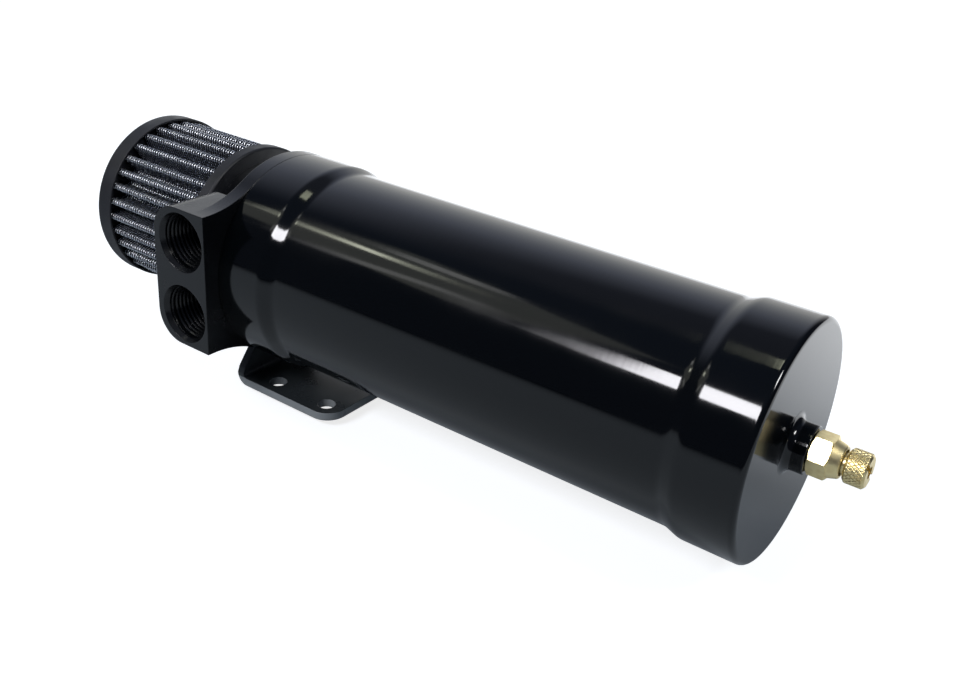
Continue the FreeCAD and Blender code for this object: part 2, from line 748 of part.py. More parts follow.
def petcock_knob():
    """Knob and hollow stem, with a cross hole into the stem's bore, and a wide mouth and a slot at the end."""
    top = stem_top_z()
    thread_z = top - stem_tip_length
    end = knob_z - knob_length
    cut = knob_chamfer
    points = [(0, end), (knob_radius - cut, end), (knob_radius, end + cut), (knob_radius, knob_z - cut),
              (knob_radius - cut, knob_z), (stem_radius, knob_z), (stem_radius, thread_z),
              (stem_tip_radius, thread_z), (stem_tip_radius, top), (0, top)]
    knob = turned(points)
    socket = needle_tail_radius + needle_tail_clearance
    socket_depth = needle_tail_length + needle_tail_clearance
    knob = knob.cut(cylinder(socket, socket_depth, Vector(0, can_y, top - socket_depth)))
    bore_top = valve_seat_z - stem_bore_blind_below_seat
    knob = knob.cut(cylinder(stem_bore_radius, bore_top - end, Vector(0, can_y, end)))
    cross_z = valve_seat_z - stem_cross_hole_below_seat
    knob = knob.cut(cylinder(stem_cross_hole_radius, 2 * stem_radius,
                             Vector(-stem_radius, can_y, cross_z), Vector(1, 0, 0)))
    knob = knob.cut(cylinder(knob_mouth_radius, knob_mouth_depth, Vector(0, can_y, end)))
    slot = Part.makeBox(4 * knob_radius, knob_slot_width, knob_slot_depth,
                        Vector(-2 * knob_radius, can_y - knob_slot_width / 2, end))
    slot.rotate(can_axis, up, knob_slot_turn)
    return knob.cut(slot)


def petcock_needle():
    """Needle that swivels on the stem's tip, and closes on the seat without turning."""
    high = valve_seat_z - needle_gap
    low = high - needle_thickness
    points = [(0, low - needle_tail_length), (needle_tail_radius, low - needle_tail_length),
              (needle_tail_radius, low), (needle_radius, low), (needle_radius, high),
              (needle_tip_radius, high),
              (needle_point_radius, high + needle_tip_length), (0, high + needle_tip_length)]
    return turned(points)


def petcock_seal():
    """O-ring round the stem in the gland at the end of the nose."""
    middle = stem_radius + seal_clearance + stem_ring_section_radius
    centre_z = nose_end_z + gland_depth - stem_ring_section_radius - stem_ring_end_clearance
    return Part.makeTorus(middle, stem_ring_section_radius, Vector(0, can_y, centre_z), up)


nodes = {
    "can_body": can_body,
    "head": head,
    "head_seal": head_seal,
    "lower_screen": lower_screen,
    "wire_pad": wire_pad,
    "upper_screen": upper_screen,
    "filter_neck": filter_neck,
    "filter_base": filter_base,
    "filter_element": filter_element,
    "filter_cap": filter_cap,
    "clamp_band": clamp_band,
    "clamp_housing": clamp_housing,
    "clamp_screw": clamp_screw,
    "bracket": bracket,
    "bracket_washers": washers,
    "bracket_screws": bracket_screws,
    "drain_bung": drain_bung,
    "petcock_body": petcock_body,
    "petcock_knob": petcock_knob,
    "petcock_needle": petcock_needle,
    "petcock_seal": petcock_seal,
}

os.makedirs("parts", exist_ok=True)
for name, build in nodes.items():
    shape = build()
    box = shape.BoundBox
    print(name, "valid" if shape.isValid() else "INVALID", len(shape.Solids), round(shape.Volume, 1),
          [round(value, 2) for value in (box.XMin, box.XMax, box.YMin, box.YMax, box.ZMin, box.ZMax)])
    shape.exportStep("parts/" + name + ".step")
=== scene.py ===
"""Finished surfaces of an oil catch can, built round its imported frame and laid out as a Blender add-on."""
import math

import bmesh
import bpy
import numpy as np
from bpy.props import FloatProperty, FloatVectorProperty, IntProperty, PointerProperty
from mathutils import Matrix, Vector


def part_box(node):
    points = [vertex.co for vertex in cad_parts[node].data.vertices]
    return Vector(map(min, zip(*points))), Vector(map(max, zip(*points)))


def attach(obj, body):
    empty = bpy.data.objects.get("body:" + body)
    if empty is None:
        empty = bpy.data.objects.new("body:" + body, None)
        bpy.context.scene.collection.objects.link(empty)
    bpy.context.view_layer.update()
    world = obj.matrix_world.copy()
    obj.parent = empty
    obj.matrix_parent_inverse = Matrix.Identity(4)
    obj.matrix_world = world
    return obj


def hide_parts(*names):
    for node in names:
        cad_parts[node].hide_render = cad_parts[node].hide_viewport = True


bl_info = {
    "name": "Oil Catch Can",
    "version": (1, 0, 0),
    "blender": (4, 5, 0),
    "location": "View3D > Sidebar > Catch Can",
    "description": "Finished surfaces of a wall-mounted oil catch can",
    "category": "Add Mesh",
}

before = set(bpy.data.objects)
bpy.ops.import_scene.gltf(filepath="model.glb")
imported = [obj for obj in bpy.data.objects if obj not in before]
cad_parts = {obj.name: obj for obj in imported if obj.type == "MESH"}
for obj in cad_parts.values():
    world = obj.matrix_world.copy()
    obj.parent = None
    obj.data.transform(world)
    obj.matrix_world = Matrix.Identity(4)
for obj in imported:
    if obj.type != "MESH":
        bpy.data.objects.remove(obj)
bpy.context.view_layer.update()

MM = 0.001
FULL_TURN = 2 * math.pi
# Thickness of the bracket's sheet
SHEET = 3.2 * MM
# Levels between which a noise turns a surface from one state to another
NOISE_LEVELS = (0.35, 0.65)
BEVEL_SAMPLES = 6

# Places read from the frame, in metres
CAN_LOW, CAN_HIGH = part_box("can_body")
CAN_X = (CAN_LOW[0] + CAN_HIGH[0]) / 2
CAN_Y = (CAN_LOW[1] + CAN_HIGH[1]) / 2
SEAM_Z = CAN_HIGH[2]
BOTTOM_Z = CAN_LOW[2]
BASE_LOW, BASE_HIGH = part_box("filter_base")
CAP_LOW, CAP_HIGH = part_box("filter_cap")
FILTER_X = (CAP_LOW[0] + CAP_HIGH[0]) / 2
FILTER_Y = (CAP_LOW[1] + CAP_HIGH[1]) / 2
BAND_LOW, BAND_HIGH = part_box("clamp_band")
HEAD_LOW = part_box("head")[0]
BUNG_LOW, BUNG_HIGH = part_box("drain_bung")
KNOB_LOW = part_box("petcock_knob")[0]


def length(name, text, millimetres):
    """Length property in metres, given in millimetres."""
    return FloatProperty(name=name, description=text, default=millimetres * MM, unit="LENGTH", precision=5)


def linear(value):
    """Linear colour from an sRGB hex value."""
    parts = [int(value[place:place + 2], 16) / 255 for place in (1, 3, 5)]
    return tuple(p / 12.92 if p <= 0.04045 else ((p + 0.055) / 1.055) ** 2.4 for p in parts) + (1.0,)


def hue(name, text, value):
    """Colour property, given as an sRGB hex value."""
    return FloatVectorProperty(name=name, description=text, default=linear(value), size=4, min=0, max=1,
                               subtype="COLOR")


class CanSizes(bpy.types.PropertyGroup):
    tube: length("Tube radius", "Outside radius of the drawn tube", 38.1)
    collar: length("Collar radius", "Outside radius of the two swelled collars", 39.85)
    wall: length("Wall", "Thickness of the tube", 2.0)
    collar_height: length("Collar height", "Height of each collar before its swage", 20.1)
    swage: length("Swage length", "Height over which a collar eases into the tube", 5.2)
    bend: length("Swage bend", "Radius of the bends at both ends of a swage", 8.0)
    floor: length("Floor", "Thickness of the flat bottom", 2.5)
    edge: length("Bottom edge", "Radius of the bottom's outer edge", 1.9)
    drain_hole: length("Drain hole", "Radius of the hole for the drain bung", 7.25)


class BungSizes(bpy.types.PropertyGroup):
    outside: length("Bung radius", "Outside radius of the drain bung", 7.8)
    spigot: length("Spigot radius", "Radius of the bung inside the can's bottom", 7.2)
    bore: length("Bore radius", "Radius of the bung's threaded bore", 4.75)
    weld: length("Weld radius", "Reach of the weld on the can's bottom", 10.4)
    weld_height: length("Weld height", "Reach of the weld along the bung", 2.55)


class FilterSizes(bpy.types.PropertyGroup):
    pleats: IntProperty(name="Pleats", description="Pleats round the sleeve", default=32, min=3)
    outside: length("Crest reach", "Radius of the sleeve at its crests", 33.9)
    inside: length("Valley reach", "Radius of the sleeve at its valleys", 26.5)
    crest: length("Crest radius", "Bend radius of a crest's outer face", 1.55)
    valley: length("Valley radius", "Bend radius of a valley's outer face", 0.7)
    spacing: length("Wire spacing", "Distance between the wires round the sleeve", 1.3)
    upright: length("Upright spacing", "Distance between the wires along the sleeve", 1.5)
    wire: length("Wire radius", "Radius of a woven wire", 0.29)
    weave: length("Weave depth", "How far a wire along the sleeve swings over and under", 0.2)
    sway: length("Sway", "How far a wire round the sleeve swings over and under", 0.05)
    thin: length("Upright wire radius", "Radius of a wire along the sleeve", 0.2)
    gauze: length("Gauze depth", "Depth of the dark gauze under the wires", 0.75)
    gauze_wall: length("Gauze wall", "Thickness of the gauze", 0.4)
    socket: length("Socket depth", "How far the wires run into the rubber ends", 1.4)


class FilterEndSizes(bpy.types.PropertyGroup):
    cap: length("Cap radius", "Outside radius of the rubber cap", 34.9)
    cap_edge: length("Cap edge", "Radius of the cap's outer edge", 1.6)
    dish: length("Dish radius", "Radius of the cap's shallow dish", 24.0)
    dish_depth: length("Dish depth", "Depth of the cap's shallow dish", 0.8)
    base: length("Base radius", "Outside radius of the rubber base", 34.6)
    base_thickness: length("Base thickness", "Thickness of the base at its rim", 5.3)
    recess: length("Recess radius", "Radius of the step on the base's underside", 28.5)
    recess_depth: length("Recess depth", "Depth of the step on the base's underside", 1.3)
    neck: length("Collar bore", "Radius of the collar's bore", 15.95)
    collar: length("Collar radius", "Outside radius of the collar", 19.45)
    socket: length("Socket radius", "Outside radius of the sockets for the sleeve", 34.05)
    bed: length("Bed radius", "Inside radius of the sockets for the sleeve", 24.95)
    socket_depth: length("Socket depth", "Depth of the sockets for the sleeve", 2.5)
    fine: length("Moulded edge", "Radius of the small moulded edges", 0.35)


class PortSizes(bpy.types.PropertyGroup):
    spacing: length("Port spacing", "Distance between the two ports", 28.6)
    height: length("Port height", "Height of the ports above the seam", 12.4)
    bore: length("Bore radius", "Radius of the port's bore", 10.3)
    start: length("Thread start", "Distance from the face to the first thread", 2.2)
    reach: length("Thread length", "Length of the thread", 12.7)
    pitch: length("Thread pitch", "Distance from one turn to the next", 1.814)
    depth: length("Thread depth", "Height of the thread inside the bore", 0.5)


class KnurlSizes(bpy.types.PropertyGroup):
    radius: length("Knob radius", "Radius of the knob under its knurl", 5.3)
    grip: length("Grip length", "Length of the knob", 6.6)
    end: length("Plain end", "Plain length left at each end of the knob", 0.55)
    rise: length("Knurl height", "Height of the diamonds", 0.18)
    count: IntProperty(name="Knurls", description="Grooves round the knob in each direction", default=26, min=3)
    lean: FloatProperty(name="Lean", description="Lean of the grooves from the axis",
                        default=math.radians(33), subtype="ANGLE")


class BandSizes(bpy.types.PropertyGroup):
    thickness: length("Band thickness", "Thickness of the strap", 0.8)
    slots: IntProperty(name="Slots", description="Pressed slots round the strap", default=52, min=3)
    slot_depth: length("Slot depth", "Depth of a pressed slot", 0.35)
    slot_height: length("Slot height", "Height of a pressed slot", 5.4)


class Colours(bpy.types.PropertyGroup):
    gloss: hue("Gloss coat", "Black gloss coat of the can", "#030507")
    satin: hue("Satin coat", "Black satin anodising of the head", "#07090c")
    sheet: hue("Sheet coat", "Black semi-gloss coat of the bracket", "#2e3336")
    # cut is a painted reflection: the pale tone that light gives the bracket's sheared edges, not a thin coat
    cut: hue("Cut edge", "Sheared edge of the bracket, where the coat is thin", "#8e9395")
    rubber: hue("Rubber", "Moulded black rubber", "#101217")
    # wire and upright are one steel wire painted twice: wire whiter as a painted highlight on the crests, upright
    # darker as painted shade lower in the weave
    wire: hue("Wire", "Bright woven wire", "#eef1f6")
    upright: hue("Upright wire", "Woven wire that runs along the sleeve", "#5b6270")
    gauze: hue("Gauze", "Dark gauze under the wire", "#0b0e16")
    brass: hue("Brass", "Turned brass", "#fbe9b0")
    patina: hue("Patina", "Brass that has dulled a little", "#ecd79c")
    steel: hue("Steel", "Bright pressed steel", "#c9ccd0")
    oxide: hue("Oxide", "Black oxide on the screws", "#17181a")
    plain: hue("Plain aluminium", "Mill-finished aluminium", "#c3c5c8")
    nylon: hue("Nylon", "Natural nylon", "#e4dfd0")
    ground: hue("Ground", "Pale ground", "#b0b8be")


class CatchCan(bpy.types.PropertyGroup):
    can: PointerProperty(type=CanSizes)
    bung: PointerProperty(type=BungSizes)
    sleeve: PointerProperty(type=FilterSizes)
    ends: PointerProperty(type=FilterEndSizes)
    ports: PointerProperty(type=PortSizes)
    knurl: PointerProperty(type=KnurlSizes)
    band: PointerProperty(type=BandSizes)
    colours: PointerProperty(type=Colours)


def settings():
    """The sizes and colours of the add-on."""
    return bpy.context.scene.catch_can


# Meshes


def make_object(name, vertices, faces):
    """Object from a vertex array and a list of face arrays, each face array with as many columns as corners."""
    mesh = bpy.data.meshes.new(name)
    mesh.vertices.add(len(vertices))
    mesh.vertices.foreach_set("co", vertices.astype(np.float32).ravel())
    corners = np.concatenate([block.ravel() for block in faces])
    sizes = np.concatenate([np.full(len(block), block.shape[1]) for block in faces])
    mesh.loops.add(len(corners))
    mesh.loops.foreach_set("vertex_index", corners.astype(np.int32))
    mesh.polygons.add(len(sizes))
    mesh.polygons.foreach_set("loop_start", (np.cumsum(sizes) - sizes).astype(np.int32))
    mesh.update(calc_edges=True)
    mesh.validate()
    made = bpy.data.objects.new(name, mesh)
    bpy.context.scene.collection.objects.link(made)
    return made


def grid_faces(rows, columns, wrap_rows=False, wrap_columns=False):
    """Quads of a grid whose points are numbered row by row. A wrapped side joins its last line to its first."""
    across = np.arange(columns if wrap_columns else columns - 1)
    down = np.arange(rows if wrap_rows else rows - 1)
    row, column = np.meshgrid(down, across, indexing="ij")
    row_after = (row + 1) % rows
    column_after = (column + 1) % columns
    quads = [row * columns + column, row * columns + column_after,
             row_after * columns + column_after, row_after * columns + column]
    return np.stack(quads, -1).reshape(-1, 4)


def face_outwards(made, crease=30.0):
    """Turns the closed mesh's faces outwards and marks its creases sharper than an angle in degrees."""
    build = bmesh.new()
    build.from_mesh(made.data)
    bmesh.ops.recalc_face_normals(build, faces=build.faces)
    build.to_mesh(made.data)
    build.free()
    made.data.shade_smooth()
    made.data.set_sharp_from_angle(angle=math.radians(crease))
    return made


def filleted(outline, steps=7):
    """Closed outline with every corner rounded, from (radius, height, fillet) corners.

    Each corner becomes an arc that touches both sides at radius / tan(half the corner's angle) from it.
    The arc's points turn evenly from one touching point to the other about the arc's centre. A support point
    stands on the side just before each arc and just after it, so that long sides shade straight.
    """
    outline = np.array(outline, float)
    corners = outline[:, :2]
    radii = outline[:, 2:]
    back = np.roll(corners, 1, 0) - corners
    ahead = np.roll(corners, -1, 0) - corners
    long_back = np.linalg.norm(back, axis=1, keepdims=True)
    long_ahead = np.linalg.norm(ahead, axis=1, keepdims=True)
    back /= long_back
    ahead /= long_ahead
    half = np.arccos(np.clip((back * ahead).sum(1, keepdims=True), -1, 1)) / 2
    reach = radii / np.tan(half)
    inward = (back + ahead) / np.linalg.norm(back + ahead, axis=1, keepdims=True)
    centre = corners + inward * radii / np.sin(half)
    first = corners + back * reach - centre
    last = corners + ahead * reach - centre
    sweep = math.pi - 2 * half
    share = np.linspace(0, 1, steps)[None, :, None]
    sweep = sweep[:, :, None]
    arcs = np.sin((1 - share) * sweep) * first[:, None] + np.sin(share * sweep) * last[:, None]
    arcs = centre[:, None] + arcs / np.sin(sweep)
    spare_back = long_back - reach - np.roll(reach, 1, 0)
    spare_ahead = long_ahead - reach - np.roll(reach, -1, 0)
    support = 0.25 * MM
    most = 0.3
    before = corners + back * (reach + np.minimum(support, most * spare_back))
    after = corners + ahead * (reach + np.minimum(support, most * spare_ahead))
    return np.concatenate([before[:, None], arcs, after[:, None]], 1).reshape(-1, 2)


def turned(name, outline, axis, columns, crease=30.0):
    """Solid turned about an upright axis from a closed outline of (radius, height) points.

    A point at radius r and angle a lies at (axis x + r cos a, axis y + r sin a, height). The outline may differ
    from one angle to the next: it then has a column of points for each angle.
    """
    rows = len(outline)
    outline = np.broadcast_to(outline.reshape(rows, -1, 2), (rows, columns, 2))
    angle = np.linspace(0, FULL_TURN, columns, endpoint=False)
    x = axis[0] + outline[..., 0] * np.cos(angle)
    y = axis[1] + outline[..., 0] * np.sin(angle)
    points = np.stack([x, y, outline[..., 1]], -1).reshape(-1, 3)
    return face_outwards(make_object(name, points, [grid_faces(rows, columns, True, True)]), crease)


# Materials


def feed(tree, socket, term):
    """Gives a socket a value, or links another node's output to it."""
    if isinstance(term, bpy.types.NodeSocket):
        tree.links.new(term, socket)
    else:
        socket.default_value = term


def add(tree, kind, *terms, **named):
    """Adds a node and feeds its sockets, in order or by name. Other names are fields of the node."""
    node = tree.nodes.new(kind)
    for key, term in named.items():
        socket = key.replace("_", " ")
        if socket in node.inputs:
            feed(tree, node.inputs[socket], term)
        else:
            setattr(node, key, term)
    for place, term in enumerate(terms):
        feed(tree, node.inputs[place], term)
    return node


def reckon(tree, operation, *terms):
    """Result of an operation on numbers."""
    return add(tree, "ShaderNodeMath", *terms, operation=operation).outputs["Value"]


def vectors(tree, operation, *terms):
    """Outputs of an operation on vectors."""
    return add(tree, "ShaderNodeVectorMath", *terms, operation=operation).outputs


def part(tree, vector, axis):
    """Part of a vector along an axis."""
    return add(tree, "ShaderNodeSeparateXYZ", vector).outputs[axis]


def spread(tree, source, low_at, high_at, low=0.0, high=1.0, kind="LINEAR"):
    """Value that goes from low to high as a source goes from low_at to high_at, and stays there beyond them."""
    return add(tree, "ShaderNodeMapRange", source, low_at, high_at, low, high,
               interpolation_type=kind).outputs["Result"]


def blend(tree, share, first, second):
    """Colour that goes from a first to a second as a share goes from 0 to 1."""
    mix = add(tree, "ShaderNodeMix", share, data_type="RGBA")
    feed(tree, mix.inputs[6], first)
    feed(tree, mix.inputs[7], second)
    return mix.outputs[2]


def principled(name, colour, roughness, metallic=0.0, **more):
    """Material with a Principled shader; returns the material, its tree, its shader and object coordinates."""
    material = bpy.data.materials.new(name)
    material.use_nodes = True
    tree = material.node_tree
    shader = tree.nodes["Principled BSDF"]
    for key, value in dict(Base_Color=colour, Roughness=roughness, Metallic=metallic, **more).items():
        shader.inputs[key.replace("_", " ")].default_value = value
    place = add(tree, "ShaderNodeTexCoord").outputs["Object"]
    return material, tree, shader, place


def grain(tree, place, size, detail=2.0, stretch=(1.0, 1.0, 1.0)):
    """Noise whose features are about a size in millimetres, stretched along each axis by a factor."""
    scale = [1 / (size * MM * factor) for factor in stretch]
    scaled = add(tree, "ShaderNodeMapping", Scale=scale, Vector=place).outputs["Vector"]
    return add(tree, "ShaderNodeTexNoise", Scale=1.0, Detail=detail, Vector=scaled).outputs["Fac"]


def emboss(tree, shader, height, depth, strength=0.3, edge=0.0):
    """Bump of a depth in millimetres, over edges softened to a radius in millimetres."""
    bump = add(tree, "ShaderNodeBump", Strength=strength, Distance=depth * MM, Height=height)
    if edge:
        soft = add(tree, "ShaderNodeBevel", Radius=edge * MM, samples=BEVEL_SAMPLES)
        feed(tree, bump.inputs["Normal"], soft.outputs["Normal"])
    feed(tree, shader.inputs["Normal"], bump.outputs["Normal"])


def vary(tree, noise, shader, low, high):
    """Lets the roughness follow a noise from low to high."""
    feed(tree, shader.inputs["Roughness"], spread(tree, noise, *NOISE_LEVELS, low, high))


def tint(tree, source, shader, first, second, levels=NOISE_LEVELS):
    """Lets the base colour go from one tone to another as a source goes from one level to the next."""
    feed(tree, shader.inputs["Base Color"], blend(tree, spread(tree, source, *levels), first, second))


def paler(colour, *gains):
    """A colour with its parts multiplied, all by one gain or each by its own."""
    gains = gains if len(gains) == 3 else gains * 3
    return tuple(value * gain for value, gain in zip(colour[:3], gains)) + (1.0,)


def lathe_lines(tree, place, size):
    """Rings left by a lathe: noise that changes only with the distance from the can's axis and the height.

    Returns the noise and the way out from the axis.
    """
    about = add(tree, "ShaderNodeMapping", Location=(-CAN_X, -CAN_Y, 0.0), Vector=place).outputs["Vector"]
    outwards = vectors(tree, "MULTIPLY", about, (1.0, 1.0, 0.0))["Vector"]
    reach = vectors(tree, "LENGTH", outwards)["Value"]
    ring = add(tree, "ShaderNodeCombineXYZ", X=reach, Z=part(tree, about, "Z")).outputs["Vector"]
    return grain(tree, ring, size, 3.0), outwards


def dress(made, maker):
    """Gives an object only the material that a function makes. It is made once and has the function's name."""
    made.data.materials.clear()
    made.data.materials.append(bpy.data.materials.get(maker.__name__) or maker())


def gloss_black_anodised():
    """Spun aluminium, anodised gloss black: a deep mirror that lines from the spinning blur across themselves.

    The blur runs along normal x (way round the can): up the tube, and outwards over the flat bottom.
    """
    material, tree, shader, place = principled("gloss_black_anodised", settings().colours.gloss, 0.1,
                                               Anisotropic=0.65)
    lines, outwards = lathe_lines(tree, place, 1.2)
    emboss(tree, shader, lines, 0.02)
    # Handling leaves faint dull patches on the mirror
    vary(tree, grain(tree, place, 22.0, 3.0), shader, 0.075, 0.125)
    way_round = vectors(tree, "CROSS_PRODUCT", outwards, (0.0, 0.0, 1.0))["Vector"]
    facing = add(tree, "ShaderNodeNewGeometry").outputs["Normal"]
    feed(tree, shader.inputs["Tangent"], vectors(tree, "CROSS_PRODUCT", facing, way_round)["Vector"])
    return material


def satin_black_anodised():
    """Milled billet, bead-blasted and anodised: the fine blast grain turns reflections into an even dark sheen."""
    material, tree, shader, place = principled("satin_black_anodised", settings().colours.satin, 0.24)
    emboss(tree, shader, grain(tree, place, 0.35), 0.02, 0.15, 0.4)
    vary(tree, grain(tree, place, 9.0, 3.0), shader, 0.21, 0.28)
    return material


def black_anodised_sheet():
    """Bent aluminium sheet, anodised: faint streaks of rolling grain, and sheared edges made paler by a painted
    reflection.
    """
    colours = settings().colours
    material, tree, shader, place = principled("black_anodised_sheet", colours.sheet, 0.3)
    emboss(tree, shader, grain(tree, place, 0.4, 3.0, (12.0, 1.0, 1.0)), 0.02, 0.2, 0.4)
    vary(tree, grain(tree, place, 12.0, 3.0), shader, 0.26, 0.36)
    # The sheared edges are the faces of the wall plate, which is SHEET thick, that don't look along Y. The pale
    # cut colour on them is a painted reflection of the light, not the metal's own tone
    facing = add(tree, "ShaderNodeNewGeometry").outputs["True Normal"]
    edge = spread(tree, reckon(tree, "ABSOLUTE", part(tree, facing, "Y")), 0.4, 0.2)
    plate = spread(tree, part(tree, place, "Y"), -SHEET - 0.2 * MM, -SHEET)
    tint(tree, reckon(tree, "MULTIPLY", edge, plate), shader, colours.sheet, colours.cut, (0.0, 1.0))
    return material


def moulded_rubber():
    """Moulded urethane rubber: the mould's fine texture scatters light, with slightly paler, drier patches."""
    colour = settings().colours.rubber
    material, tree, shader, place = principled("moulded_rubber", colour, 0.5)
    emboss(tree, shader, grain(tree, place, 0.5, 4.0), 0.05, 0.3)
    worn = grain(tree, place, 7.0, 4.0)
    tint(tree, worn, shader, colour, paler(colour, 1.7))
    vary(tree, worn, shader, 0.44, 0.6)
    return material


def woven_wire(name, colour):
    """Drawn steel wire: bright metal, a little uneven in its shine from one stretch to the next."""
    material, tree, shader, place = principled(name, colour, 0.38, 1.0)
    vary(tree, grain(tree, place, 2.5), shader, 0.33, 0.42)
    return material


def bright_round_wire():
    """Wires round the sleeve: they stand proud over each crest and carry its row of glints. Their whiter colour is
    partly painted highlight, on the same wire as those along the sleeve.
    """
    return woven_wire("bright_round_wire", settings().colours.wire)


def shaded_upright_wire():
    """Wires along the sleeve: the same wire painted darker, as painted shade where they lie lower in the weave."""
    return woven_wire("shaded_upright_wire", settings().colours.upright)


def dark_gauze():
    """Cotton gauze under the wire, oiled: dark threads that cross, with almost no shine."""
    colour = settings().colours.gauze
    material, tree, shader, place = principled("dark_gauze", colour, 0.85)
    threads = grain(tree, place, 0.45, 2.0, (1.0, 1.0, 3.0))
    tint(tree, threads, shader, colour, paler(colour, 2.2))
    emboss(tree, shader, threads, 0.1, 0.5)
    return material


def turned_brass():
    """Turned brass: warm bright metal with fine tool rings, a shade dulled in patches."""
    colours = settings().colours
    material, tree, shader, place = principled("turned_brass", colours.brass, 0.34, 1.0)
    emboss(tree, shader, lathe_lines(tree, place, 0.35)[0], 0.01, 0.4)
    dulled = grain(tree, place, 2.5, 4.0)
    tint(tree, dulled, shader, colours.brass, colours.patina, (0.45, 0.75))
    vary(tree, dulled, shader, 0.3, 0.4)
    return material


def pressed_steel():
    """Pressed stainless strip: bright grey metal with a grain brushed along its length."""
    material, tree, shader, place = principled("pressed_steel", settings().colours.steel, 0.3, 1.0)
    brushed = grain(tree, place, 0.25, 3.0, (40.0, 40.0, 1.0))
    emboss(tree, shader, brushed, 0.02, 0.3)
    vary(tree, brushed, shader, 0.24, 0.4)
    return material


def black_oxide_steel():
    """Steel screws with a black oxide finish: a dark oily sheen, browner where the oxide is thin."""
    colour = settings().colours.oxide
    material, tree, shader, place = principled("black_oxide_steel", colour, 0.35, 0.6)
    thin = grain(tree, place, 1.5, 4.0)
    tint(tree, thin, shader, colour, paler(colour, 2.6, 2.2, 1.9), (0.5, 0.8))
    vary(tree, thin, shader, 0.3, 0.45)
    return material


def mill_aluminium():
    """Mill-finished aluminium: pale metal with a soft grain along the rolling."""
    material, tree, shader, place = principled("mill_aluminium", settings().colours.plain, 0.4, 1.0)
    rolled = grain(tree, place, 0.3, 3.0, (30.0, 1.0, 1.0))
    emboss(tree, shader, rolled, 0.02, 0.3)
    vary(tree, rolled, shader, 0.34, 0.5)
    return material


def natural_nylon():
    """Natural nylon: off-white and slightly waxy, so light sinks in a little."""
    material, tree, shader, place = principled("natural_nylon", settings().colours.nylon, 0.45,
                                               Subsurface_Weight=0.2, Subsurface_Scale=0.001)
    vary(tree, grain(tree, place, 1.2, 3.0), shader, 0.4, 0.52)
    return material


# Pieces


class SpinCan(bpy.types.Operator):
    """Makes the spun can with its two collars, flat bottom and smooth swages"""
    bl_idname = "catch_can.spin_can"
    bl_label = "Spin Can"

    def execute(self, context):
        size = settings().can
        inner_collar = size.collar - size.wall
        inner_tube = size.tube - size.wall
        low_collar = BOTTOM_Z + size.collar_height
        low_tube = low_collar + size.swage
        high_collar = SEAM_Z - size.collar_height
        high_tube = high_collar - size.swage
        floor = BOTTOM_Z + size.floor
        rim = 0.3 * MM
        bend = size.bend
        outline = [(size.drain_hole, BOTTOM_Z, rim), (size.collar, BOTTOM_Z, size.edge),
                   (size.collar, low_collar, bend), (size.tube, low_tube, bend), (size.tube, high_tube, bend),
                   (size.collar, high_collar, bend), (size.collar, SEAM_Z, rim), (inner_collar, SEAM_Z, rim),
                   (inner_collar, high_collar, bend), (inner_tube, high_tube, bend), (inner_tube, low_tube, bend),
                   (inner_collar, low_collar, bend), (inner_collar, floor, 4 * rim), (size.drain_hole, floor, rim)]
        can = turned("can_shell", filleted(outline), (CAN_X, CAN_Y), columns=360)
        dress(can, gloss_black_anodised)
        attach(can, "can")
        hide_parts("can_body")
        return {"FINISHED"}


class WeldBung(bpy.types.Operator):
    """Makes the drain bung with the smooth hollow weld that joins it to the can's bottom"""
    bl_idname = "catch_can.weld_bung"
    bl_label = "Weld Bung"

    def execute(self, context):
        size = settings().bung
        end = BUNG_LOW[2]
        top = BUNG_HIGH[2]
        # The weld's toe ends just in front of the can's bottom and goes on a little way into it
        toe = BOTTOM_Z - 0.03 * MM
        sunk = BOTTOM_Z + 0.2 * MM
        fine = 0.02 * MM
        mouth = 0.1 * MM
        rim = 0.3 * MM
        outline = [(size.bore, end, mouth), (size.outside, end, rim), (size.outside, toe, size.weld_height),
                   (size.weld, toe, fine / 2), (size.weld, sunk, fine), (size.spigot, sunk, fine),
                   (size.spigot, top, fine), (size.bore, top, fine)]
        bung = turned("welded_bung", filleted(outline, steps=14), (CAN_X, CAN_Y), columns=300)
        dress(bung, gloss_black_anodised)
        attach(bung, "can")
        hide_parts("drain_bung")
        return {"FINISHED"}


